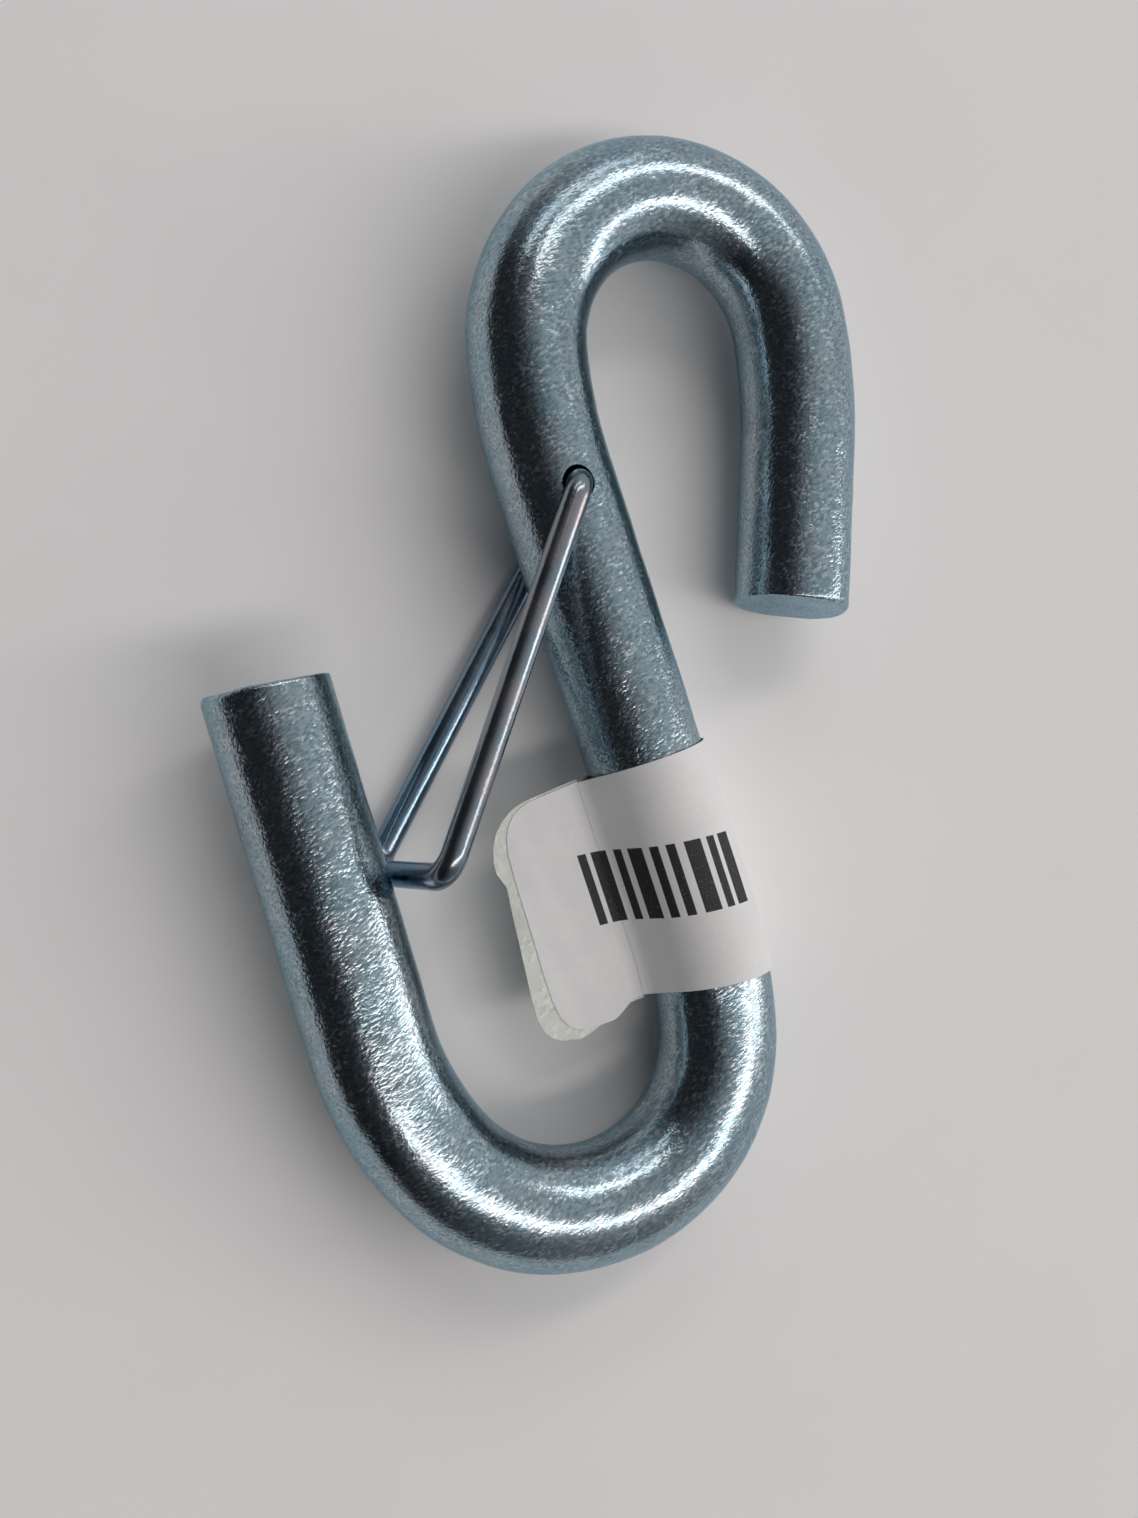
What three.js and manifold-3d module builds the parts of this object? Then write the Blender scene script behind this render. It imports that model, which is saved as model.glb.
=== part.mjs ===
// Safety chain hook: an S-bent round bar with a sprung wire latch across the
// lower mouth, and a paper item label wrapped round the shank.
//
// Millimetres. The hook lies flat: X and Y span the plane of the S, +Y points
// from the lower (tow) bowl to the upper (chain) eye, +Z is the thickness.
// The origin is the centre of the footprint, level with the lowest point.

import * as THREE from 'three';
import { mergeVertices } from 'three/addons/utils/BufferGeometryUtils.js';
import Module from 'manifold-3d';

// ---------------------------------------------------------------- dimensions

// Placement of the hook plane (bend drawing datum) in the part's frame.
const DATUM = new THREE.Vector3(1.592, -6.471, 8.58);

// Bar: 7/16 in round stock.
const BAR_R = 5.55;
const BAR_SIDES = 24;

// Bend schedule of the bar's centreline, from the cut end of the chain side
// to the cut end of the tow arm. [length, bend radius, max step]; radius
// Infinity is straight, positive turns left, negative turns right.
const BAR_START = [23.27, 15.17];
const BAR_HEADING = 87.12; // degrees from +X
const BAR_BENDS = [
  [16.08, Infinity, 5.4],
  [12.07, 44.73, 3.1],
  [14.07, 13.16, 1.8],
  [14.95, 13.73, 1.8],
  [13.58, 15.58, 1.95],
  [10.78, 46.25, 2.8],
  [43.76, Infinity, 5.5],
  [10.42, -37.82, 2.7],
  [14.55, -14.36, 1.85],
  [2.11, -15.15, 2.2],
  [19.99, -15.91, 2.0],
  [13.63, -27.26, 2.3],
  [31.65, Infinity, 5.3],
];

// Latch: spring wire, one piece. The front leg is at +Z, the rear leg at -Z.
// Both toes lie on the pivot line, which is tipped because the two sockets
// are offset along the shank.
const WIRE_R = 1.18;
const WIRE_SIDES = 12;
const FRONT_PIVOT = new THREE.Vector3(-1.32, 24.56, 7.0);
const REAR_PIVOT = new THREE.Vector3(0.49, 22.24, -7.0);
const FRONT_CORNER = new THREE.Vector3(-13.68, -10.29, 7.5);
const REAR_CORNER = new THREE.Vector3(-16.55, -10.42, -7.46);
const TOE_LENGTH = 5.0; // from the leg's centreline to the tip
const TOE_BEND_R = 1.9;
const CORNER_BEND_R = 2.3;

// Sockets for the toes, drilled blind from each side along the pivot line.
const SOCKET_R = 1.5;
const SOCKET_DEPTH = 5.5; // from the leg's centreline to the flat bottom

// Label: a paper strip round the shank, its two ends pressed together as a tail.
const LABEL_START = 109.24; // distance along the centreline from BAR_START
const LABEL_END = 130.95;
const PAPER = 0.3;
const GAP = 0.3;
// Tail outlines in shank coordinates: [along the shank from the cut end of
// the chain side, out from the shank's centreline towards the arm].
const FRONT_TAIL = [
  [109.1, 6.55], [109.1, 10.4], [109.5, 12.6], [110.9, 14.3], [113.0, 14.9],
  [118.0, 15.5], [125.5, 16.0], [129.3, 15.7], [130.6, 14.6], [131.0, 12.6],
  [130.9, 7.1], [126.0, 6.75], [120.0, 6.55],
];
const BACK_TAIL = [
  [109.0, 6.55], [109.0, 10.8], [109.4, 13.4], [110.9, 15.6], [113.2, 16.9],
  [117.0, 17.1], [125.0, 17.9], [129.2, 17.7], [131.0, 16.3], [131.5, 14.0],
  [131.0, 11.5], [130.9, 7.1], [126.0, 6.75], [120.0, 6.55],
];

// ------------------------------------------------------------------- helpers

// A route made of stretches, each with its own length, point and tangent, and
// sampled at stations that are closer together in the bends.
class Route extends THREE.Curve {
  constructor(stretches, from = 0, to = Infinity) {
    super();
    this.stretches = stretches;
    this.stations = [];
    let s = 0;
    for (const part of stretches) {
      const a = Math.max(s, from);
      const b = Math.min(s + part.length, to);
      if (b - a > 1e-6) {
        const n = Math.max(1, Math.ceil((b - a) / part.step - 1e-6));
        for (let i = 0; i < n; i++) this.stations.push(a + ((b - a) * i) / n);
      }
      s += part.length;
    }
    this.stations.push(Math.min(s, to));
  }
  get steps() { return this.stations.length - 1; }
  getUtoTmapping(u) { return u; }
  locate(t) {
    const x = THREE.MathUtils.clamp(t, 0, 1) * this.steps;
    const i = Math.min(Math.floor(x + 1e-9), this.steps - 1);
    let s = THREE.MathUtils.lerp(this.stations[i], this.stations[i + 1], x - i);
    for (const part of this.stretches) {
      if (s <= part.length + 1e-9) return [part, Math.min(s, part.length)];
      s -= part.length;
    }
    const last = this.stretches[this.stretches.length - 1];
    return [last, last.length];
  }
  getPoint(t) { const [part, s] = this.locate(t); return part.point(s); }
  getTangent(t) { const [part, s] = this.locate(t); return part.tangent(s); }
}

function barStretches() {
  const out = [];
  let x = BAR_START[0], y = BAR_START[1], h = THREE.MathUtils.degToRad(BAR_HEADING);
  for (const [length, radius, step] of BAR_BENDS) {
    const x0 = x, y0 = y, h0 = h, k = 1 / radius;
    const point = (s) => (k === 0
      ? new THREE.Vector3(x0 + s * Math.cos(h0), y0 + s * Math.sin(h0), 0)
      : new THREE.Vector3(
        x0 + (Math.sin(h0 + k * s) - Math.sin(h0)) / k,
        y0 - (Math.cos(h0 + k * s) - Math.cos(h0)) / k, 0));
    const tangent = (s) => new THREE.Vector3(Math.cos(h0 + k * s), Math.sin(h0 + k * s), 0);
    out.push({ length, step, point, tangent });
    const end = point(length);
    x = end.x; y = end.y; h = h0 + k * length;
  }
  return out;
}

// Straight runs joined by circular bends at the inner corners.
function wireStretches(corners, bendRadii, bendSteps) {
  const out = [];
  let from = corners[0];
  for (let i = 1; i < corners.length; i++) {
    const here = corners[i];
    const d0 = here.clone().sub(from).normalize();
    if (i === corners.length - 1) {
      out.push(straight(from, here));
      break;
    }
    const d1 = corners[i + 1].clone().sub(here).normalize();
    const turn = Math.acos(d0.dot(d1));
    const radius = bendRadii[i - 1];
    const setback = radius * Math.tan(turn / 2);
    const a = here.clone().addScaledVector(d0, -setback);
    const b = here.clone().addScaledVector(d1, setback);
    out.push(straight(from, a));
    const side = d1.clone().addScaledVector(d0, -d0.dot(d1)).normalize();
    const centre = a.clone().addScaledVector(side, radius);
    const length = radius * turn;
    out.push({
      length,
      step: length / bendSteps,
      point: (s) => centre.clone()
        .addScaledVector(side, -radius * Math.cos(s / radius))
        .addScaledVector(d0, radius * Math.sin(s / radius)),
      tangent: (s) => d0.clone().multiplyScalar(Math.cos(s / radius))
        .addScaledVector(side, Math.sin(s / radius)),
    });
    from = b;
  }
  return out;
}

function straight(a, b) {
  const d = b.clone().sub(a);
  const length = d.length();
  d.normalize();
  return {
    length,
    step: Math.max(length / 5, 4),
    point: (s) => a.clone().addScaledVector(d, s),
    tangent: () => d.clone(),
  };
}

function ring(radius, sides) {
  const pts = [];
  for (let i = 0; i < sides; i++) {
    const t = (2 * Math.PI * i) / sides;
    pts.push(new THREE.Vector2(radius * Math.cos(t), radius * Math.sin(t)));
  }
  return pts;
}

function sweep(shape, route) {
  return new THREE.ExtrudeGeometry(shape, {
    steps: route.steps, extrudePath: route, bevelEnabled: false,
  });
}

// Point of the shank plane given along and out from the shank's centreline.
function shankPoint(route, along, out) {
  const at = BAR_BENDS.slice(0, 6).reduce((sum, b) => sum + b[0], 0);
  const shank = route.stretches[6];
  const p = shank.point(along - at);
  const d = shank.tangent(0);
  return new THREE.Vector2(p.x + out * d.y, p.y - out * d.x);
}

const wasm = await Module();
wasm.setup();

function toSolid(geometry) {
  const g = geometry.clone();
  g.deleteAttribute('normal');
  g.deleteAttribute('uv');
  const merged = mergeVertices(g, 1e-4);
  return new wasm.Manifold(new wasm.Mesh({
    numProp: 3,
    vertProperties: Float32Array.from(merged.attributes.position.array),
    triVerts: Uint32Array.from(merged.index.array),
  }));
}

function toGeometry(solid) {
  const mesh = solid.getMesh();
  const g = new THREE.BufferGeometry();
  g.setAttribute('position', new THREE.BufferAttribute(Float32Array.from(mesh.vertProperties), 3));
  g.setIndex(new THREE.BufferAttribute(Uint32Array.from(mesh.triVerts), 1));
  g.computeVertexNormals();
  return g;
}

function material(color, roughness, metalness, extra = {}) {
  return new THREE.MeshStandardMaterial({ color, roughness, metalness, ...extra });
}

// ---------------------------------------------------------------------- bar

const barRoute = new Route(barStretches());
let bar = toSolid(sweep(new THREE.Shape(ring(BAR_R, BAR_SIDES)), barRoute));

const pivotLine = FRONT_PIVOT.clone().sub(REAR_PIVOT).normalize();

function socket(mouth, inward) {
  const outside = 3.0;
  const length = SOCKET_DEPTH + outside;
  const g = new THREE.CylinderGeometry(SOCKET_R, SOCKET_R, length, 20);
  g.applyQuaternion(new THREE.Quaternion().setFromUnitVectors(new THREE.Vector3(0, 1, 0), inward));
  const middle = mouth.clone().addScaledVector(inward, (SOCKET_DEPTH - outside) / 2);
  g.translate(middle.x, middle.y, middle.z);
  return toSolid(g);
}

bar = bar.subtract(socket(FRONT_PIVOT, pivotLine.clone().negate()));
bar = bar.subtract(socket(REAR_PIVOT, pivotLine));

const hookBar = new THREE.Mesh(toGeometry(bar), material(0x8fa3b0, 0.32, 1.0));
hookBar.name = 'hook_bar';

// -------------------------------------------------------------------- latch

const wireRoute = new Route(wireStretches(
  [
    FRONT_PIVOT.clone().addScaledVector(pivotLine, -TOE_LENGTH),
    FRONT_PIVOT,
    FRONT_CORNER,
    REAR_CORNER,
    REAR_PIVOT,
    REAR_PIVOT.clone().addScaledVector(pivotLine, TOE_LENGTH),
  ],
  [TOE_BEND_R, CORNER_BEND_R, CORNER_BEND_R, TOE_BEND_R],
  6,
));
const latchWire = new THREE.Mesh(
  sweep(new THREE.Shape(ring(WIRE_R, WIRE_SIDES)), wireRoute),
  material(0x7f8d9c, 0.25, 1.0),
);
latchWire.name = 'latch_wire';

// -------------------------------------------------------------------- label

const wrapShape = new THREE.Shape(ring(BAR_R + GAP + PAPER, 32));
wrapShape.holes.push(new THREE.Path(ring(BAR_R + GAP, 32).reverse()));
const labelWrap = new THREE.Mesh(
  sweep(wrapShape, new Route(barStretches(), LABEL_START, LABEL_END)),
  material(0xd6d6da, 0.7, 0.0),
);
labelWrap.name = 'label_wrap';

function tail(outline, z) {
  const pts = outline.map(([along, out]) => shankPoint(barRoute, along, out));
  const g = new THREE.ExtrudeGeometry(new THREE.Shape(pts), {
    depth: PAPER, bevelEnabled: false, steps: 1,
  });
  g.translate(0, 0, z);
  return g;
}

const frontTail = new THREE.Mesh(tail(FRONT_TAIL, GAP / 2), material(0xdedde0, 0.7, 0.0));
frontTail.name = 'label_front_tail';

const backTail = new THREE.Mesh(tail(BACK_TAIL, -GAP / 2 - PAPER), material(0xd8dfd4, 0.35, 0.0));
backTail.name = 'label_back_tail';

// ----------------------------------------------------------------- assembly

const hook = new THREE.Group();
hook.position.copy(DATUM);
hook.add(hookBar, latchWire, labelWrap, frontTail, backTail);

const group = new THREE.Group();
group.add(hook);

export default group;
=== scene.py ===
import math

import bpy
import numpy as np
from mathutils import Matrix, Vector


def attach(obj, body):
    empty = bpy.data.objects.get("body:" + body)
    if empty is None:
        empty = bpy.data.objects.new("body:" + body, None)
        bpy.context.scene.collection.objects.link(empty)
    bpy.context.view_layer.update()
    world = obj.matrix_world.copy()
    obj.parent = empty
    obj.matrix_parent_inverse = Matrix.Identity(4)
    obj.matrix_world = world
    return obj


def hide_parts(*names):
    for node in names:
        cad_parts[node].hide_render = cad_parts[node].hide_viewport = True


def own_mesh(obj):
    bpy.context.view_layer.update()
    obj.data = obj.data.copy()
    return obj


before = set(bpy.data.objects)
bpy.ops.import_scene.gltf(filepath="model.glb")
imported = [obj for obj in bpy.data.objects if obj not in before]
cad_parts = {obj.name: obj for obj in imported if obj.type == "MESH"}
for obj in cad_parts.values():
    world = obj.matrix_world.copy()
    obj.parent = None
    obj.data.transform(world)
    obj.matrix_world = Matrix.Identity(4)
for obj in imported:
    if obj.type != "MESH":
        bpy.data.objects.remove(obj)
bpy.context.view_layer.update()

# --------------------------------------------------------------- dimensions
# Millimetres in the hook's own datum, as in the CAD source; everything made
# below is shifted by DATUM and turned into metres.

MM = 0.001
DATUM = np.array([1.592, -6.471, 8.58])

BAR_R = 5.55
BAR_START = (23.27, 15.17)
BAR_HEADING = 87.12
BAR_BENDS = [
    (16.08, math.inf), (12.07, 44.73), (14.07, 13.16), (14.95, 13.73),
    (13.58, 15.58), (10.78, 46.25), (43.76, math.inf), (10.42, -37.82),
    (14.55, -14.36), (2.11, -15.15), (19.99, -15.91), (13.63, -27.26),
    (31.65, math.inf),
]
BAR_LENGTH = sum(b[0] for b in BAR_BENDS)
SHANK_FROM = sum(b[0] for b in BAR_BENDS[:6])

WIRE_R = 1.18
FRONT_PIVOT = np.array([-1.32, 24.56, 7.0])
REAR_PIVOT = np.array([0.49, 22.24, -7.0])
FRONT_CORNER = np.array([-13.68, -10.29, 7.5])
REAR_CORNER = np.array([-16.55, -10.42, -7.46])
TOE_LENGTH = 5.0
TOE_BEND_R = 1.9
CORNER_BEND_R = 2.3
SOCKET_R = 1.5
SOCKET_DEPTH = 5.5

LABEL_START = 109.24
LABEL_END = 130.95


def metres(points):
    return (np.asarray(points, float) + DATUM) * MM


# ------------------------------------------------------------ centreline maths

def bar_at(s):
    """Points and headings of the bar's centreline at arc lengths s."""
    s = np.atleast_1d(np.asarray(s, float))
    x = np.zeros_like(s)
    y = np.zeros_like(s)
    h = np.zeros_like(s)
    px, py, ph, start = *BAR_START, math.radians(BAR_HEADING), 0.0
    for i, (length, radius) in enumerate(BAR_BENDS):
        k = 0.0 if math.isinf(radius) else 1.0 / radius
        last = i == len(BAR_BENDS) - 1
        here = (s >= start - 1e-9) & ((s < start + length) | last)
        if i == 0:
            here |= s < start
        t = s[here] - start
        if k == 0.0:
            x[here] = px + t * math.cos(ph)
            y[here] = py + t * math.sin(ph)
            h[here] = ph
            px, py = px + length * math.cos(ph), py + length * math.sin(ph)
        else:
            x[here] = px + (np.sin(ph + k * t) - math.sin(ph)) / k
            y[here] = py - (np.cos(ph + k * t) - math.cos(ph)) / k
            h[here] = ph + k * t
            end = ph + k * length
            px += (math.sin(end) - math.sin(ph)) / k
            py -= (math.cos(end) - math.cos(ph)) / k
            ph = end
        start += length
    return np.stack([x, y, np.zeros_like(x)], 1), h


def bar_frames(s):
    """Centre, tangent and the outward direction that lies in the hook plane."""
    p, h = bar_at(s)
    tangent = np.stack([np.cos(h), np.sin(h), 0 * h], 1)
    side = np.stack([np.sin(h), -np.cos(h), 0 * h], 1)
    return p, tangent, side


def field(shape, cell, low, high, seed):
    """A seeded random height field, periodic both ways, holding only the
    wavelengths from low to high (mm). It has an RMS of 1."""
    rng = np.random.default_rng(seed)
    noise = np.fft.rfft2(rng.standard_normal(shape))
    fy = np.fft.fftfreq(shape[0], cell[0])[:, None]
    fx = np.fft.rfftfreq(shape[1], cell[1])[None, :]
    f = np.hypot(fy, fx)
    keep = np.exp(-((f * low) ** 2)) * (1 - np.exp(-((f * high) ** 2)))
    out = np.fft.irfft2(noise * keep, s=shape)
    return out / out.std()


# --------------------------------------------------------------- mesh helpers

def make_object(name, verts, faces, smooth=True):
    mesh = bpy.data.meshes.new(name)
    mesh.from_pydata([tuple(v) for v in verts], [], [tuple(f) for f in faces])
    mesh.validate()
    mesh.update()
    if smooth:
        mesh.polygons.foreach_set("use_smooth", [True] * len(mesh.polygons))
    obj = bpy.data.objects.new(name, mesh)
    bpy.context.scene.collection.objects.link(obj)
    return obj


def grid_faces(rows, cols, closed_cols=True, offset=0):
    """Quads between neighbouring rings, facing out for rings that turn
    left as seen along the direction of travel."""
    i = np.arange(rows - 1)[:, None]
    j = np.arange(cols if closed_cols else cols - 1)[None, :]
    jn = (j + 1) % cols
    a = i * cols + j
    b = i * cols + jn
    c = (i + 1) * cols + jn
    d = (i + 1) * cols + j
    return (np.stack([a, b, c, d], -1).reshape(-1, 4) + offset).tolist()


def sharpen(obj, degrees):
    obj.data.set_sharp_from_angle(angle=math.radians(degrees))


# --------------------------------------------------------------- the hook bar

def build_bar():
    cols = 144
    rows = int(BAR_LENGTH / 0.3)
    edge = 0.38
    s_body = np.linspace(edge, BAR_LENGTH - edge, rows)
    theta = np.linspace(0, 2 * math.pi, cols, endpoint=False)

    # Rolled and plated skin: long soft waves, then the grain of the plating.
    cell = (BAR_LENGTH / rows, 2 * math.pi * BAR_R / cols)
    relief = (
        0.014 * field((rows, cols), cell, 5.0, 14.0, 3)
        + 0.0035 * field((rows, cols), cell, 0.9, 2.4, 5)
        + 0.0020 * field((rows, cols), cell, 0.45, 0.9, 9)
    )

    def ring(s, radius, push=0.0):
        p, t, side = bar_frames([s])
        out = np.cos(theta)[:, None] * side[0] + np.sin(theta)[:, None] * np.array([0, 0, 1.0])
        radius = np.broadcast_to(np.asarray(radius, float), theta.shape)
        push = np.broadcast_to(np.asarray(push, float), theta.shape)
        return p[0] + out * radius[:, None] + t[0] * push[:, None]

    # The sheared ends: a small rolled edge, then an almost flat face that
    # leans a little and carries the coarse break of the shear.
    rng = np.random.default_rng(21)

    def end_rings(at, direction, lean, lip_angle, lip):
        away = (theta - lip_angle + math.pi) % (2 * math.pi) - math.pi
        lean_push = lean * np.cos(away)
        lip_push = lip * np.exp(-((away / 0.38) ** 2))
        wobble = sum(
            a * np.cos(n * theta + q)
            for n, a, q in ((3, 0.035, 1.0), (5, 0.025, 2.2), (9, 0.016, 0.4), (14, 0.010, 3.0))
        )
        rings = []
        for step in (0.25, 0.5, 0.75, 1.0):
            phi = step * math.pi / 2
            radius = BAR_R - edge * (1 - math.cos(phi))
            push = direction * (edge * math.sin(phi)) + direction * step * (lean_push + lip_push + wobble) * 1.0
            rings.append(ring(at, radius, push))
        for frac in np.linspace(0.97, 0.04, 26):
            radius = (BAR_R - edge) * frac
            rough = 0.03 * np.sin(7 * frac + 2 * theta) * frac + rng.normal(0, 0.006, cols)
            push = direction * (edge + (lean_push + 0.6 * lip_push * frac ** 10 + wobble * frac ** 4) * frac + rough * min(1, frac * 3))
            rings.append(ring(at, radius, push))
        return rings

    body = []
    for i, s in enumerate(s_body):
        body.append(ring(s, BAR_R + relief[i] * min(1.0, min(s, BAR_LENGTH - s) / 1.5)))
    first = end_rings(s_body[0], -1.0, 0.34, 0.0, 0.0)[::-1]
    last = end_rings(s_body[-1], 1.0, 0.36, math.pi - 0.08, 0.12)
    rings = first + body + last
    verts = np.concatenate(rings)

    # The skin rolls in a little round each socket's mouth.
    pivot = (FRONT_PIVOT - REAR_PIVOT) / np.linalg.norm(FRONT_PIVOT - REAR_PIVOT)
    rel = verts - FRONT_PIVOT
    along = rel @ pivot
    off = rel - along[:, None] * pivot
    rho = np.linalg.norm(off, axis=1)
    close = (rho < SOCKET_R + 0.45) & (np.abs(verts[:, 2]) > 3.0)
    sink = np.clip(1 - (rho - SOCKET_R) / 0.45, 0, 1.4) ** 3 * 0.035
    verts[close, 2] -= (np.sign(verts[:, 2]) * sink)[close]

    faces = grid_faces(len(rings), cols)
    n = len(verts)
    centre_first = rings[0].mean(0)
    centre_last = rings[-1].mean(0)
    verts = np.vstack([verts, centre_first, centre_last])
    for j in range(cols):
        k = (j + 1) % cols
        faces.append((n, k, j))
        faces.append((n + 1, (len(rings) - 1) * cols + j, (len(rings) - 1) * cols + k))
    obj = make_object("hook_bar_forged", metres(verts), faces)

    # The two blind sockets for the latch's toes.
    for mouth, inward, name in (
        (FRONT_PIVOT, -pivot, "front"),
        (REAR_PIVOT, pivot, "rear"),
    ):
        a = np.cross(inward, [0, 1, 0])
        a /= np.linalg.norm(a)
        b = np.cross(inward, a)
        turns = np.linspace(0, 2 * math.pi, 56, endpoint=False)
        profile = [(-3.0, SOCKET_R), (SOCKET_DEPTH - 0.25, SOCKET_R), (SOCKET_DEPTH, SOCKET_R - 0.3), (SOCKET_DEPTH + 0.35, 0.25)]
        cv = []
        for depth, radius in profile:
            cv.append(mouth + inward * depth + (np.cos(turns)[:, None] * a + np.sin(turns)[:, None] * b) * radius)
        cf = grid_faces(len(profile), len(turns))
        m = len(turns)
        cf.append(list(range(m))[::-1])
        cf.append([(len(profile) - 1) * m + q for q in range(m)])
        cutter = make_object("cut_" + name, metres(np.concatenate(cv)), cf)
        fix_normals(cutter)
        mod = obj.modifiers.new("socket_" + name, "BOOLEAN")
        mod.operation = "DIFFERENCE"
        mod.solver = "EXACT"
        mod.object = cutter
        apply_modifiers(obj)
        bpy.data.objects.remove(cutter)
    sharpen(obj, 40)

    # How deep the grain stands: drawn smoother on the tight bends.
    co = np.empty(len(obj.data.vertices) * 3, np.float32)
    obj.data.vertices.foreach_get("co", co)
    flat = (co.reshape(-1, 3) / MM - DATUM)[:, :2]
    stations = np.linspace(0, BAR_LENGTH, 440)
    line, heading = bar_at(stations)
    bent = np.abs(np.gradient(heading, stations))
    bent = np.convolve(np.pad(bent, 18, mode="edge"), np.ones(37) / 37, "valid")
    depth = 1.0 - 0.55 * np.clip(bent / 0.05, 0, 1)
    near = np.concatenate([
        np.argmin(((part[:, None, :] - line[None, :, :2]) ** 2).sum(2), 1)
        for part in np.array_split(flat, 40)
    ])
    layer = obj.data.attributes.new("grain", "FLOAT", "POINT")
    layer.data.foreach_set("value", depth[near].astype(np.float32))
    return obj


def fix_normals(obj):
    import bmesh
    bm = bmesh.new()
    bm.from_mesh(obj.data)
    bmesh.ops.recalc_face_normals(bm, faces=bm.faces)
    bm.to_mesh(obj.data)
    bm.free()


def apply_modifiers(obj):
    dg = bpy.context.evaluated_depsgraph_get()
    made = bpy.data.meshes.new_from_object(obj.evaluated_get(dg))
    old = obj.data
    obj.modifiers.clear()
    obj.data = made
    bpy.data.meshes.remove(old)


# ------------------------------------------------------------------ the latch

def wire_route(corners, radii, step):
    """Points and tangents along straight runs joined by circular bends."""
    pts, tans, bends = [], [], []
    start = corners[0]
    for i in range(1, len(corners)):
        here = corners[i]
        d0 = (here - start) / np.linalg.norm(here - start)
        if i == len(corners) - 1:
            n = max(2, int(np.linalg.norm(here - start) / step))
            for q in np.linspace(0, 1, n + 1):
                pts.append(start + (here - start) * q)
                tans.append(d0)
                bends.append(0.0)
            break
        d1 = corners[i + 1] - here
        d1 = d1 / np.linalg.norm(d1)
        turn = math.acos(float(d0 @ d1))
        r = radii[i - 1]
        setback = r * math.tan(turn / 2)
        a, b = here - d0 * setback, here + d1 * setback
        n = max(2, int(np.linalg.norm(a - start) / step))
        for q in np.linspace(0, 1, n + 1)[:-1]:
            pts.append(start + (a - start) * q)
            tans.append(d0)
            bends.append(0.0)
        side = d1 - (d0 @ d1) * d0
        side /= np.linalg.norm(side)
        centre = a + side * r
        n = max(8, int(r * turn / (step * 0.5)))
        for q in np.linspace(0, turn, n + 1)[:-1]:
            pts.append(centre - side * r * math.cos(q) + d0 * r * math.sin(q))
            tans.append(d0 * math.cos(q) + side * math.sin(q))
            bends.append(math.sin(math.pi * q / turn))
        start = b
    return np.array(pts), np.array(tans), np.array(bends)


def build_latch():
    pivot = (FRONT_PIVOT - REAR_PIVOT) / np.linalg.norm(FRONT_PIVOT - REAR_PIVOT)
    corners = [
        FRONT_PIVOT - pivot * TOE_LENGTH, FRONT_PIVOT, FRONT_CORNER,
        REAR_CORNER, REAR_PIVOT, REAR_PIVOT + pivot * TOE_LENGTH,
    ]
    p, t, bend = wire_route(corners, [TOE_BEND_R, CORNER_BEND_R, CORNER_BEND_R, TOE_BEND_R], 0.3)
    cols = 40
    theta = np.linspace(0, 2 * math.pi, cols, endpoint=False)
    normal = np.cross(t[0], [0, 1, 0])
    normal /= np.linalg.norm(normal)
    cell = (0.3, 2 * math.pi * WIRE_R / cols)
    relief = 0.0016 * field((len(p), cols), cell, 0.6, 3.0, 31)
    rings = []
    for i in range(len(p)):
        normal = normal - (normal @ t[i]) * t[i]
        normal /= np.linalg.norm(normal)
        other = np.cross(t[i], normal)
        out = np.cos(theta)[:, None] * normal + np.sin(theta)[:, None] * other
        rings.append(p[i] + out * (WIRE_R + relief[i])[:, None])
    # Cropped ends with a small round.
    def cap(ring_pts, tangent, direction):
        centre = ring_pts.mean(0)
        out = []
        for q in (0.35, 0.7, 1.0):
            phi = q * math.pi / 2
            scale = (WIRE_R - 0.3 * (1 - math.cos(phi))) / WIRE_R
            out.append(centre + (ring_pts - centre) * scale + tangent * direction * (0.3 * math.sin(phi) - 0.3))
        for q in (0.6, 0.25):
            out.append(centre + (ring_pts - centre) * q * (WIRE_R - 0.3) / WIRE_R)
        return out
    first = rings[0] + t[0] * 0.3
    last = rings[-1] - t[-1] * 0.3
    rings = cap(rings[0], t[0], -1.0)[::-1] + [first] + rings[1:-1] + [last] + cap(rings[-1], t[-1], 1.0)
    # Keep the order of the first two stations true to the route.
    verts = np.concatenate(rings)
    faces = grid_faces(len(rings), cols)
    n = len(verts)
    verts = np.vstack([verts, rings[0].mean(0), rings[-1].mean(0)])
    for j in range(cols):
        k = (j + 1) % cols
        faces.append((n, k, j))
        faces.append((n + 1, (len(rings) - 1) * cols + j, (len(rings) - 1) * cols + k))
    obj = make_object("latch_wire_drawn", metres(verts), faces)
    fix_normals(obj)
    sharpen(obj, 50)
    return obj


# ------------------------------------------------------------------ the label
# The strip's section is drawn in the plane across the shank: u runs out from
# the shank's centre towards the arm, w is the height above the hook plane.

PAPER_R = BAR_R + 0.16
PAPER_T = 0.11
TAIL_T = 0.06
CREASE = 7.15
CREASE_R = 2.6

# The front end bends into the tail on a soft radius: the fillet between the
# flat tail and the slope that runs up to the bar.
SLOPE = math.pi / 2 - math.acos(PAPER_R / CREASE)
FILLET = CREASE_R * math.tan(SLOPE / 2)


def crease_height(out):
    """Height of the front tail over the hook plane, from its fillet."""
    x = np.clip(CREASE + FILLET - out, 0, CREASE_R * math.sin(SLOPE / 2))
    return CREASE_R - np.sqrt(CREASE_R ** 2 - x ** 2)


def shank_straight(along, out):
    """The same, on the straight shank's line carried on past its bend."""
    p, t, side = bar_frames([SHANK_FROM])
    along = np.atleast_1d(along)
    return p[0] + np.outer(along - SHANK_FROM, t[0]) + np.outer(out, side[0] * SIDE)


# On the shank, the side vector points to the arm.
SIDE = 1.0


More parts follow.
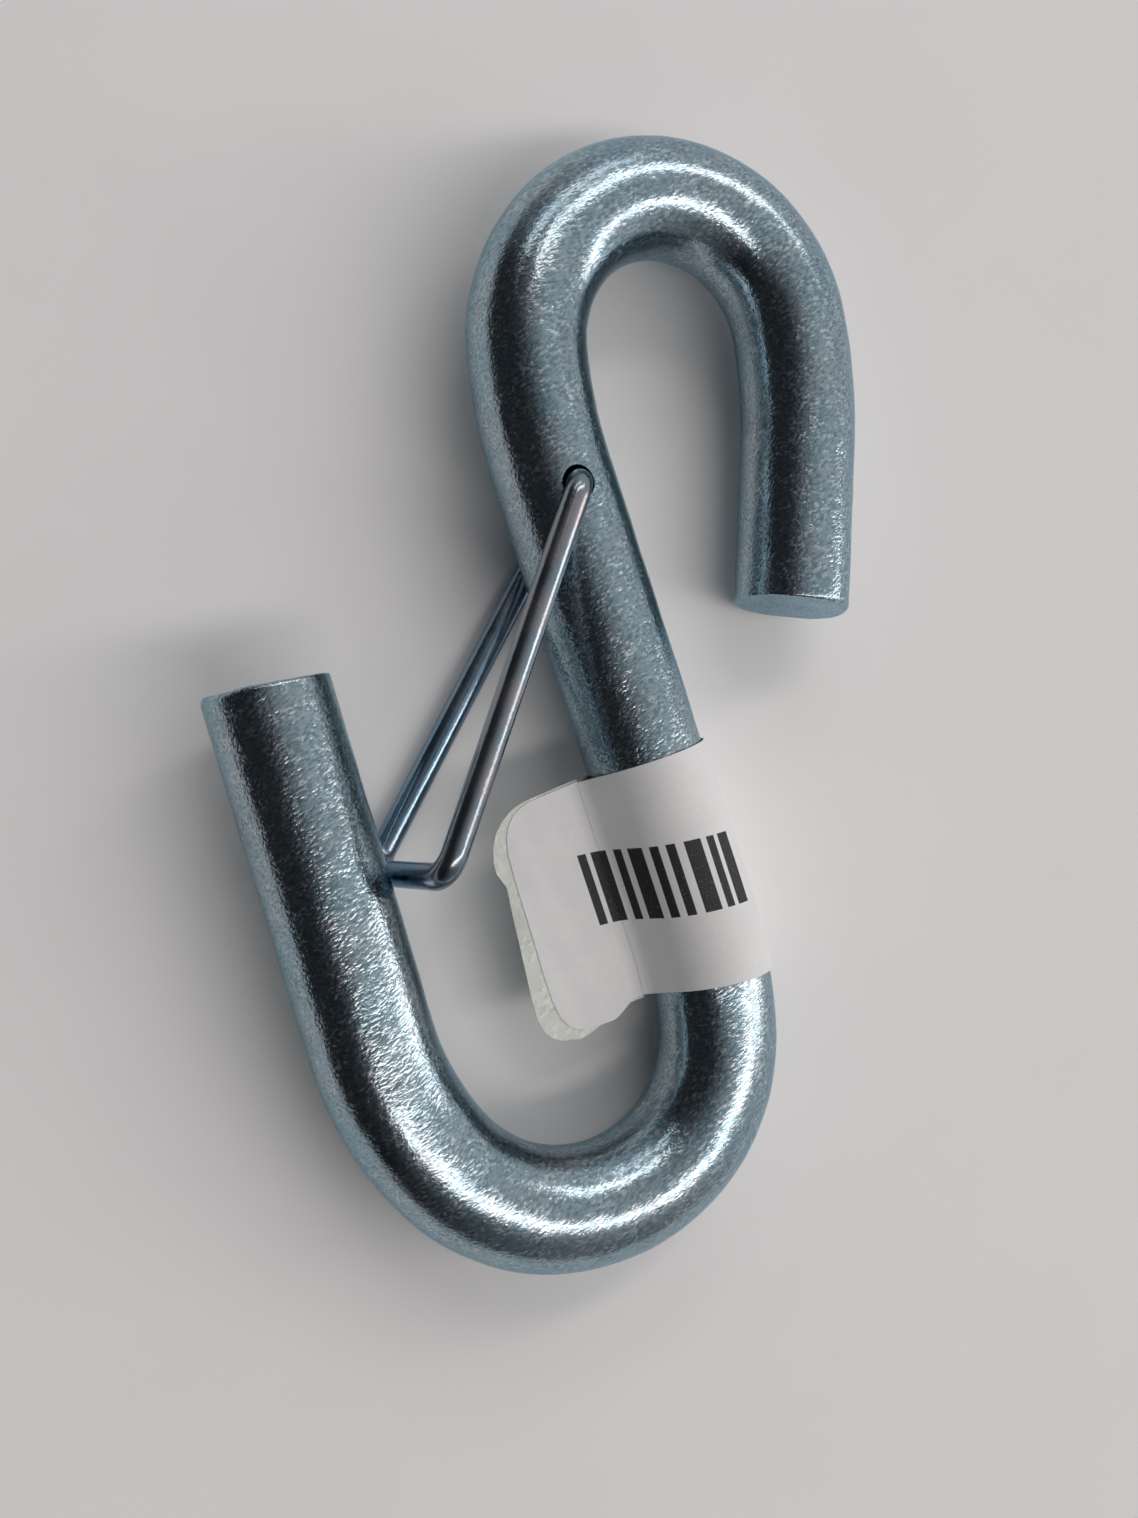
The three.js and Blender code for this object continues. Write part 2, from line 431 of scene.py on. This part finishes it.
def sheet_object(name, top, thickness_dir, thickness, uv):
    """A thin closed sheet from a grid of points (rows, cols, 3): the grid is
    its upper face, and thickness_dir the way down to its lower one."""
    rows, cols = top.shape[:2]
    down = top + thickness_dir * thickness
    verts = np.concatenate([top.reshape(-1, 3), down.reshape(-1, 3)])
    n = rows * cols
    faces, tags = [], []
    upper = grid_faces(rows, cols, False)
    faces += [list(f) for f in upper]
    faces += [[a + n for a in f][::-1] for f in upper]

    def strip(idx):
        for a, b in zip(idx[:-1], idx[1:]):
            faces.append([b, a, a + n, b + n])
    strip([j for j in range(cols)][::-1])
    strip([(rows - 1) * cols + j for j in range(cols)])
    strip([i * cols for i in range(rows)])
    strip([i * cols + cols - 1 for i in range(rows)][::-1])
    obj = make_object(name, metres(verts), faces)
    fix_normals(obj)
    layer = obj.data.uv_layers.new(name="strip")
    flat = np.concatenate([uv.reshape(-1, 2), uv.reshape(-1, 2)])
    idx = np.zeros(len(obj.data.loops), np.int32)
    obj.data.loops.foreach_get("vertex_index", idx)
    layer.data.foreach_set("uv", flat[idx].astype(np.float32).ravel())
    sharpen(obj, 45)
    return obj


def build_label():
    rows = 90
    s = np.linspace(LABEL_START, LABEL_END, rows)
    p, t, side = bar_frames(s)
    arm = side * SIDE
    up = np.array([0, 0, 1.0])

    # Half section from the crease round the front to the far side.
    leave = math.acos(PAPER_R / CREASE)
    straight_n, round_n = 18, 150
    u, w, girth = [], [], []
    c, sn = math.cos(leave), math.sin(leave)
    tangent_point = np.array([PAPER_R * c, PAPER_R * sn])
    tip = np.array([CREASE, 0.0])
    run = np.linalg.norm(tangent_point - tip)
    start_x = CREASE + FILLET - CREASE_R * math.sin(SLOPE / 2)
    for a in np.linspace(SLOPE / 2, SLOPE, 10, endpoint=False):
        # the upper half of the fillet
        u.append(CREASE + FILLET - CREASE_R * math.sin(a))
        w.append(CREASE_R - CREASE_R * math.cos(a))
        girth.append(CREASE_R * (a - SLOPE / 2))
    top_of_fillet = np.array([
        CREASE + FILLET - CREASE_R * math.sin(SLOPE), CREASE_R - CREASE_R * math.cos(SLOPE),
    ])
    for q in np.linspace(0, 1, straight_n, endpoint=False):
        pt = top_of_fillet + (tangent_point - top_of_fillet) * q
        u.append(pt[0]); w.append(pt[1])
        girth.append(CREASE_R * SLOPE / 2 + np.linalg.norm(pt - top_of_fillet))
    for a in np.linspace(leave, 2 * math.pi - leave, round_n):
        u.append(PAPER_R * math.cos(a)); w.append(PAPER_R * math.sin(a))
        girth.append(run + PAPER_R * (a - leave))
    for q in np.linspace(1, 0, straight_n + 1)[1:]:
        pt = np.array([tip[0] + (tangent_point[0] - tip[0]) * q, -(tip[1] + (tangent_point[1] - tip[1]) * q)])
        lift = 0.07 * math.sin(math.pi * q)
        pt = pt - np.array([c, -sn]) * lift
        u.append(pt[0]); w.append(pt[1])
        girth.append(2 * run + PAPER_R * (2 * math.pi - 2 * leave) - run * q)
    u, w, girth = np.array(u), np.array(w), np.array(girth)
    w = np.where(np.abs(w) < 1e-9, 0, w)

    # Outward normals of the section, to give the paper its thickness.
    du, dw = np.gradient(u), np.gradient(w)
    nu, nw = dw, -du
    flip = np.sign(np.sum(nu * u + nw * w))
    length = np.hypot(nu, nw)
    nu, nw = flip * nu / length, flip * nw / length
    # Slight skew and ripple of a strip put on by hand.
    s_grid = np.repeat(s[:, None], len(u), 1)
    ripple = 0.012 * np.sin(girth[None, :] * 0.9 + s_grid * 0.25) * np.sin(s_grid * 0.6 + 1.0)
    top = (
        p[:, None, :]
        + arm[:, None, :] * (u + nu * PAPER_T)[None, :, None]
        + up[None, None, :] * (w + nw * PAPER_T)[None, :, None]
    )
    inward = -(arm[:, None, :] * nu[None, :, None] + up[None, None, :] * nw[None, :, None])
    top = top - inward * ripple[..., None]
    uv = np.stack([np.broadcast_to(girth[None, :], s_grid.shape), s_grid - LABEL_START], -1) / 100.0
    wrap = sheet_object("label_wrap_paper", top, inward, PAPER_T, uv)

    # Tails.
    def tail(name, outline, root, z_face, thick, curl):
        """outline gives, for each distance along the shank, the tail's reach."""
        rows_t, cols_t = 96, 56
        a = np.linspace(outline[0][0], outline[-1][0], 400)
        reach = np.interp(a, [o[0] for o in outline], [o[1] for o in outline])
        # rows spread along the shank between the outline's two ends
        along = np.interp(np.linspace(0, 1, rows_t), np.linspace(0, 1, 400), a)
        reach = np.interp(along, a, reach)
        q = np.linspace(0, 1, cols_t)
        out = root + (reach[:, None] - root) * q[None, :]
        along_g = np.repeat(along[:, None], cols_t, 1)
        base, tt, sd = bar_frames(along)
        blend = ((1 - q) ** 2 * (1 + 2 * q))[None, :]
        flat = shank_straight(along_g.ravel(), out.ravel()).reshape(rows_t, cols_t, 3)
        bent = base[:, None, :] + (sd * SIDE)[:, None, :] * out[..., None]
        pts = flat * (1 - blend[..., None]) + bent * blend[..., None]
        height = curl(along_g, out)
        pts[..., 2] = z_face + height
        uv = np.stack([root - out, along_g - LABEL_START], -1) / 100.0
        return sheet_object(name, pts, np.array([0, 0, -1.0]), thick, uv)

    def wave(along, out):
        f = np.clip((out - CREASE) / 9.0, 0, 1)
        return 0.10 * np.sin(along * 0.42 + 0.6) * f ** 1.5 + 0.03 * np.sin(out * 2.1 + along * 0.3) * f

    def bent_wave(along, out):
        return wave(along, out) + crease_height(out)

    front_outline = [
        (109.12, 7.6), (109.16, 10.2), (109.3, 12.0), (109.6, 13.2), (110.1, 14.1), (110.8, 14.8),
        (111.8, 15.3), (113.2, 15.6), (115.5, 15.75), (118.0, 15.85), (121.0, 15.95), (124.5, 16.1),
        (127.2, 16.05), (128.8, 15.8), (129.8, 15.35), (130.4, 14.7), (130.8, 13.8), (130.97, 12.8), (131.02, 11.2),
    ]
    back_outline = [
        (108.95, 7.6), (108.97, 10.4), (109.1, 12.4), (109.5, 14.0), (110.2, 15.2), (111.1, 16.1),
        (112.2, 16.75), (113.4, 17.1), (114.4, 17.2), (115.2, 16.95), (115.9, 16.7), (116.8, 16.8), (118.5, 17.05),
        (120.5, 17.25), (123.0, 17.5), (126.0, 17.8), (128.3, 17.9), (129.6, 17.6), (130.5, 16.9), (131.1, 15.9), (131.4, 14.6), (131.35, 13.4),
    ]
    back_outline = sorted(back_outline)
    front = tail("label_front_tail_paper", front_outline, start_x, 0.01 + TAIL_T, TAIL_T, bent_wave)
    back = tail("label_back_tail_film", back_outline, CREASE, -0.01, PAPER_T, wave)
    return wrap, front, back


# ---------------------------------------------------------------- node helper

class Nodes:
    def __init__(self, tree):
        self.tree = tree
        tree.nodes.clear()

    def add(self, kind, **values):
        node = self.tree.nodes.new(kind)
        for key, value in values.items():
            setattr(node, key, value)
        return node

    def link(self, a, b):
        self.tree.links.new(a, b)

    def put(self, socket, value):
        if isinstance(value, bpy.types.NodeSocket):
            self.link(value, socket)
        else:
            socket.default_value = value

    def math(self, op, a, b=0.0, c=None, clamp=False):
        n = self.add("ShaderNodeMath", operation=op, use_clamp=clamp)
        self.put(n.inputs[0], a)
        self.put(n.inputs[1], b)
        if c is not None:
            self.put(n.inputs[2], c)
        return n.outputs[0]

    def vmath(self, op, a, b=(0, 0, 0)):
        n = self.add("ShaderNodeVectorMath", operation=op)
        self.put(n.inputs[0], a)
        self.put(n.inputs[1], b)
        return n.outputs["Value"] if op in ("DOT_PRODUCT", "LENGTH", "DISTANCE") else n.outputs["Vector"]

    def range(self, v, a, b, c=0.0, d=1.0, kind="SMOOTHSTEP"):
        n = self.add("ShaderNodeMapRange", interpolation_type=kind)
        self.put(n.inputs["Value"], v)
        for name, x in (("From Min", a), ("From Max", b), ("To Min", c), ("To Max", d)):
            self.put(n.inputs[name], x)
        return n.outputs["Result"]

    def noise(self, vector, scale, detail=2.0, rough=0.5, distortion=0.0, out="Fac"):
        n = self.add("ShaderNodeTexNoise")
        self.put(n.inputs["Vector"], vector)
        self.put(n.inputs["Scale"], scale)
        self.put(n.inputs["Detail"], detail)
        self.put(n.inputs["Roughness"], rough)
        self.put(n.inputs["Distortion"], distortion)
        return n.outputs[out]

    def mix(self, fac, a, b):
        n = self.add("ShaderNodeMix", data_type="RGBA")
        self.put(n.inputs[0], fac)
        self.put(n.inputs[6], a)
        self.put(n.inputs[7], b)
        return n.outputs[2]

    def bump(self, height, strength, distance, normal=None):
        n = self.add("ShaderNodeBump")
        self.put(n.inputs["Strength"], strength)
        self.put(n.inputs["Distance"], distance)
        self.put(n.inputs["Height"], height)
        if normal is not None:
            self.link(normal, n.inputs["Normal"])
        return n.outputs["Normal"]


def new_material(name):
    mat = bpy.data.materials.new(name)
    mat.use_nodes = True
    g = Nodes(mat.node_tree)
    out = g.add("ShaderNodeOutputMaterial")
    bsdf = g.add("ShaderNodeBsdfPrincipled")
    g.link(bsdf.outputs[0], out.inputs[0])
    return mat, g, bsdf


def zinc_material():
    mat, g, bsdf = new_material("zinc_plate")
    obj = g.add("ShaderNodeTexCoord").outputs["Object"]
    bsdf.inputs["Metallic"].default_value = 1.0

    wear = g.add("ShaderNodeAttribute", attribute_name="grain").outputs["Fac"]
    # The grain is drawn out into short streaks that lie one way.
    drawn = g.add("ShaderNodeMapping", vector_type="TEXTURE")
    g.link(obj, drawn.inputs["Vector"])
    drawn.inputs["Rotation"].default_value = (0.0, 0.0, math.radians(32))
    drawn.inputs["Scale"].default_value = (1.9, 0.9, 1.0)
    grain = g.noise(drawn.outputs[0], 3500.0, 1.0, 0.5)
    fine = g.noise(obj, 5600.0, 1.0, 0.5)
    scale = g.noise(obj, 900.0, 2.0, 0.5)
    broad = g.noise(obj, 160.0, 2.0, 0.5)
    patch = g.noise(obj, 420.0, 3.0, 0.6)
    # Passivation tint: cool blue, greyer or a little more violet in places.
    cool = g.mix(g.range(broad, 0.35, 0.65), (0.312, 0.424, 0.486, 1), (0.360, 0.438, 0.484, 1))
    tint = g.mix(g.range(patch, 0.52, 0.78, 0.0, 0.7), cool, (0.340, 0.345, 0.400, 1))
    # Paler frosting on the grains, in loose clusters.
    frost = g.math("MULTIPLY", g.range(grain, 0.50, 0.64), g.range(scale, 0.38, 0.62, 0.15, 1.0))
    tint = g.mix(g.math("MULTIPLY", frost, 0.75), tint, (0.62, 0.665, 0.685, 1))
    # Painted shade: darker in the hollows between the grains, on the low side of the noise that also raises the bump.
    hollow_shade = g.math("MULTIPLY", g.range(grain, 0.36, 0.49, 1.0, 0.0), g.range(patch, 0.3, 0.6, 0.2, 0.6))
    tint = g.mix(hollow_shade, tint, (0.138, 0.205, 0.245, 1))
    g.link(tint, bsdf.inputs["Base Color"])
    bsdf.inputs["Specular Tint"].default_value = (0.66, 0.81, 0.90, 1)
    rough = g.math("ADD", g.range(patch, 0.3, 0.7, 0.16, 0.22), g.math("MULTIPLY", frost, 0.08))
    g.link(rough, bsdf.inputs["Roughness"])
    # Grains of the plating, with a scatter of small nodules on them.
    cells = g.add("ShaderNodeTexVoronoi")
    g.link(obj, cells.inputs["Vector"])
    cells.inputs["Scale"].default_value = 1000.0
    split = g.add("ShaderNodeSeparateColor")
    g.link(cells.outputs["Color"], split.inputs[0])
    nodule = g.math("MULTIPLY", g.range(cells.outputs["Distance"], 0.05, 0.19, 1.0, 0.0), g.range(split.outputs[0], 0.68, 0.75))
    deep = g.math("MULTIPLY", g.math("SUBTRACT", grain, 0.5), g.math("MULTIPLY", wear, g.range(scale, 0.35, 0.65, 0.65, 1.25)))
    n1 = g.bump(deep, 1.0, 0.000045)
    n2 = g.bump(fine, 1.0, 0.000012, n1)
    n3 = g.bump(nodule, 1.0, 0.000016, n2)
    g.link(n3, bsdf.inputs["Normal"])
    return mat


def wire_material():
    mat, g, bsdf = new_material("zinc_wire")
    obj = g.add("ShaderNodeTexCoord").outputs["Object"]
    bsdf.inputs["Metallic"].default_value = 1.0
    broad = g.noise(obj, 300.0, 2.0, 0.5)
    grain = g.noise(obj, 2600.0, 3.0, 0.5)
    sep = g.add("ShaderNodeSeparateXYZ")
    g.link(obj, sep.inputs[0])
    # The passivation is greyer on the front leg and deeper blue behind.
    side = g.range(sep.outputs[2], 0.009, 0.0155)
    blue = g.mix(g.range(broad, 0.35, 0.7), (0.23, 0.34, 0.44, 1), (0.30, 0.37, 0.45, 1))
    grey = g.mix(g.range(broad, 0.35, 0.7), (0.27, 0.32, 0.36, 1), (0.33, 0.315, 0.33, 1))
    g.link(g.mix(side, blue, grey), bsdf.inputs["Base Color"])
    bsdf.inputs["Specular Tint"].default_value = (0.70, 0.80, 0.90, 1)
    g.link(g.range(broad, 0.3, 0.7, 0.17, 0.26), bsdf.inputs["Roughness"])
    g.link(g.bump(grain, 1.0, 0.000016), bsdf.inputs["Normal"])
    return mat


def paper_material():
    mat, g, bsdf = new_material("label_paper")
    uv = g.add("ShaderNodeUVMap", uv_map="strip").outputs[0]
    sep = g.add("ShaderNodeSeparateXYZ")
    g.link(uv, sep.inputs[0])
    across = g.math("MULTIPLY", sep.outputs[0], 100.0)   # mm round the shank from the crease
    along = g.math("MULTIPLY", sep.outputs[1], 100.0)    # mm down the label
    obj = g.add("ShaderNodeTexCoord").outputs["Object"]
    fibre = g.noise(obj, 2600.0, 4.0, 0.65)
    cloud = g.noise(obj, 220.0, 2.0, 0.5)
    # A plain printed row of upright bars stands where the item number was.
    ink = None
    for centre, half in ((-1.75, 0.42), (-0.15, 0.72), (1.75, 0.42), (3.6, 0.8), (5.5, 0.42), (7.0, 0.42), (9.0, 0.8), (10.8, 0.42), (12.4, 0.72)):
        bar = g.math("SUBTRACT", half, g.math("ABSOLUTE", g.math("SUBTRACT", across, centre)))
        bar = g.range(bar, -0.03, 0.03)
        ink = bar if ink is None else g.math("MAXIMUM", ink, bar)
    line = g.math("ADD", g.math("MULTIPLY", across, 0.14), 10.0)
    band = g.math("SUBTRACT", 3.4, g.math("ABSOLUTE", g.math("SUBTRACT", along, line)))
    ink = g.math("MULTIPLY", ink, g.range(band, -0.03, 0.03))
    speck = g.range(g.noise(obj, 5200.0, 1.0, 0.5), 0.62, 0.75, 0.0, 0.10)
    ink = g.math("SUBTRACT", ink, g.math("MULTIPLY", ink, speck))
    paper = g.mix(g.range(cloud, 0.3, 0.7), (0.80, 0.80, 0.805, 1), (0.84, 0.84, 0.84, 1))
    paper = g.mix(g.range(fibre, 0.35, 0.65, 0.0, 0.35), paper, (0.75, 0.75, 0.76, 1))
    colour = g.mix(ink, paper, (0.022, 0.022, 0.024, 1))
    g.link(colour, bsdf.inputs["Base Color"])
    g.link(g.range(fibre, 0.3, 0.7, 0.48, 0.6), bsdf.inputs["Roughness"])
    bsdf.inputs["Specular IOR Level"].default_value = 0.35
    g.link(g.bump(fibre, 0.6, 0.000012), bsdf.inputs["Normal"])
    return mat


def film_material():
    mat, g, bsdf = new_material("label_adhesive")
    obj = g.add("ShaderNodeTexCoord").outputs["Object"]
    cloud = g.noise(obj, 350.0, 3.0, 0.6)
    bubbles = g.add("ShaderNodeTexVoronoi", feature="SMOOTH_F1")
    g.link(obj, bubbles.inputs["Vector"])
    bubbles.inputs["Scale"].default_value = 1500.0
    dots = g.range(bubbles.outputs["Distance"], 0.0, 0.45, 1.0, 0.0)
    colour = g.mix(g.range(cloud, 0.35, 0.65), (0.66, 0.69, 0.64, 1), (0.76, 0.78, 0.73, 1))
    g.link(colour, bsdf.inputs["Base Color"])
    g.link(g.range(cloud, 0.3, 0.7, 0.16, 0.3), bsdf.inputs["Roughness"])
    bsdf.inputs["Subsurface Weight"].default_value = 0.25
    bsdf.inputs["Subsurface Radius"].default_value = (0.0004, 0.0005, 0.0004)
    bsdf.inputs["Coat Weight"].default_value = 0.35
    bsdf.inputs["Coat Roughness"].default_value = 0.12
    n1 = g.bump(dots, 0.8, 0.00006)
    n2 = g.bump(cloud, 0.8, 0.0001, n1)
    g.link(n2, bsdf.inputs["Normal"])
    return mat


# ---------------------------------------------------------------- the pieces

zinc = zinc_material()
wire = wire_material()
paper = paper_material()
film = film_material()

bar = build_bar()
bar.data.materials.clear()
bar.data.materials.append(zinc)
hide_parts("hook_bar")
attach(bar, "hook")

latch = build_latch()
latch.data.materials.append(wire)
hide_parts("latch_wire")
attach(latch, "latch")

wrap, front_tail, back_tail = build_label()
for piece, node, mat, slot in (
    (wrap, "label_wrap", paper, "label_paper"),
    (front_tail, "label_front_tail", paper, "label_paper"),
    (back_tail, "label_back_tail", film, "label_adhesive_film"),
):
    piece.data.materials.append(mat)
    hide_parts(node)
    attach(piece, "hook")

# The crease's direction along the shank and the way square to it, towards the arm; each tail gets its own copy of its
# mesh.
p_crease, t_crease, side_crease = bar_frames([LABEL_START, LABEL_END])
crease = p_crease + side_crease * SIDE * CREASE
chord = crease[1] - crease[0]
chord /= np.linalg.norm(chord)
push = np.cross([0, 0, 1.0], chord)
if push @ (side_crease[0] * SIDE) < 0:
    push = -push
for piece in (front_tail, back_tail):
    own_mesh(piece)

# ------------------------------------------------------------------- the floor
# The hook lies on three points: the latch's rear corner and rear toe bend,
# and the underside of the tow bowl. The floor is the plane through them.

floor_n = Vector((-0.08070, 0.02807, 0.99634)).normalized()
floor_d = 0.000698 - 0.00004


def floor_z(x, y):
    return (-floor_n.x * x - floor_n.y * y) / floor_n.z + floor_d / floor_n.z


def build_floor():
    size, n = 12.0, 60
    g = np.linspace(-1, 1, n)
    g = np.sign(g) * np.abs(g) ** 3.0 * size
    verts = [(x, y, floor_z(x, y)) for x in g for y in g]
    faces = grid_faces(n, n, False)
    obj = make_object("floor", verts, faces)
    mat, k, bsdf = new_material("floor_white")
    pos = k.add("ShaderNodeTexCoord").outputs["Object"]
    shade = k.noise(pos, 60.0, 3.0, 0.5)
    k.link(k.mix(k.range(shade, 0.3, 0.7), (0.925, 0.925, 0.925, 1), (0.94, 0.94, 0.94, 1)), bsdf.inputs["Base Color"])
    bsdf.inputs["Roughness"].default_value = 0.7
    bsdf.inputs["Specular IOR Level"].default_value = 0.2
    obj.data.materials.append(mat)
    fix_normals(obj)
    if obj.data.polygons[0].normal.z < 0:
        obj.data.flip_normals()
    return obj


build_floor()

# ------------------------------------------------------------------ the camera

FOCAL_PX = 1394.94
CAM_A, CAM_B, CAM_D = -0.0390, -0.3650, 127.681


def make_camera():
    ca, sa, cb, sb = math.cos(CAM_A), math.sin(CAM_A), math.cos(CAM_B), math.sin(CAM_B)
    rx = np.array([[1, 0, 0], [0, ca, -sa], [0, sa, ca]])
    ry = np.array([[cb, 0, sb], [0, 1, 0], [-sb, 0, cb]])
    m = rx @ ry @ np.diag([1, -1, -1.0])
    centre = -m.T @ np.array([0, 0, CAM_D])
    rot = m.T @ np.diag([1, -1, -1.0])
    data = bpy.data.cameras.new("camera")
    cam = bpy.data.objects.new("camera", data)
    bpy.context.scene.collection.objects.link(cam)
    world = Matrix.Identity(4)
    for i in range(3):
        for j in range(3):
            world[i][j] = float(rot[i, j])
    world.translation = Vector(metres(centre))
    cam.matrix_world = world
    data.sensor_fit = "AUTO"
    data.sensor_width = 36.0
    data.lens = FOCAL_PX / 1518.0 * 36.0
    data.clip_start = 0.01
    data.clip_end = 50.0
    bpy.context.scene.camera = cam
    return cam


make_camera()

# ------------------------------------------------------------------ the lights

def softbox(name, direction, distance, size_x, size_y, radiance, turn=0.0, colour=(1, 1, 1)):
    """A rectangular soft light that faces the hook. turn rolls it about its
    own axis, from having size_x along the hook plane's X."""
    data = bpy.data.lights.new(name, "AREA")
    data.shape = "RECTANGLE"
    data.size = size_x
    data.size_y = size_y
    data.color = colour
    data.energy = radiance * math.pi * size_x * size_y
    light = bpy.data.objects.new(name, data)
    bpy.context.scene.collection.objects.link(light)
    d = Vector(direction).normalized()
    x_axis = Vector((1, 0, 0)) - d * d.x
    x_axis.normalize()
    y_axis = d.cross(x_axis)
    c, s = math.cos(math.radians(turn)), math.sin(math.radians(turn))
    x_axis, y_axis = x_axis * c + y_axis * s, y_axis * c - x_axis * s
    world = Matrix.Identity(4)
    for i in range(3):
        world[i][0], world[i][1], world[i][2] = x_axis[i], y_axis[i], d[i]
    world.translation = d * distance
    light.matrix_world = world
    return light


def azimuthal(px, py):
    """Direction for a point of the equal-area map of the sky: the centre is
    straight up and the horizon is at radius 0.707."""
    rho2 = px * px + py * py
    k = 2 * math.sqrt(max(0.0, 1 - rho2))
    return (px * k, py * k, 1 - 2 * rho2)


DAY = (1.0, 0.915, 0.87)
softbox("upper_window", azimuthal(0.12, 0.328), 1.2, 1.06, 0.17, 3.8, turn=12, colour=DAY)
softbox("upper_strip", azimuthal(-0.09, 0.46), 1.2, 0.94, 0.13, 1.9, turn=14)
softbox("lower_window", azimuthal(0.165, -0.185), 1.2, 1.42, 0.20, 4.5, turn=12, colour=DAY)
softbox("side_window", azimuthal(0.54, -0.01), 1.2, 0.62, 0.20, 3.8, turn=20, colour=DAY)


def build_world():
    world = bpy.data.worlds.new("room")
    world.use_nodes = True
    bpy.context.scene.world = world
    g = Nodes(world.node_tree)
    out = g.add("ShaderNodeOutputWorld")
    bg = g.add("ShaderNodeBackground")
    g.link(bg.outputs[0], out.inputs[0])
    d = g.add("ShaderNodeTexCoord").outputs["Generated"]
    sep = g.add("ShaderNodeSeparateXYZ")
    g.link(d, sep.inputs[0])
    x, y, z = sep.outputs
    lean = g.math("ADD", x, g.range(y, 0.5, 0.9, 0.0, 0.3))
    level = g.range(lean, -0.66, 0.62, 0.03, 0.56)
    level = g.math("MULTIPLY", level, g.range(y, -0.85, -0.3, 0.42, 1.0))
    colour = g.mix(g.range(x, -0.5, 0.3), (0.90, 0.94, 1.0, 1), (0.93, 0.97, 1.0, 1))
    g.link(colour, bg.inputs["Color"])
    g.link(level, bg.inputs["Strength"])


build_world()
bpy.context.scene.view_settings.view_transform = "Standard"
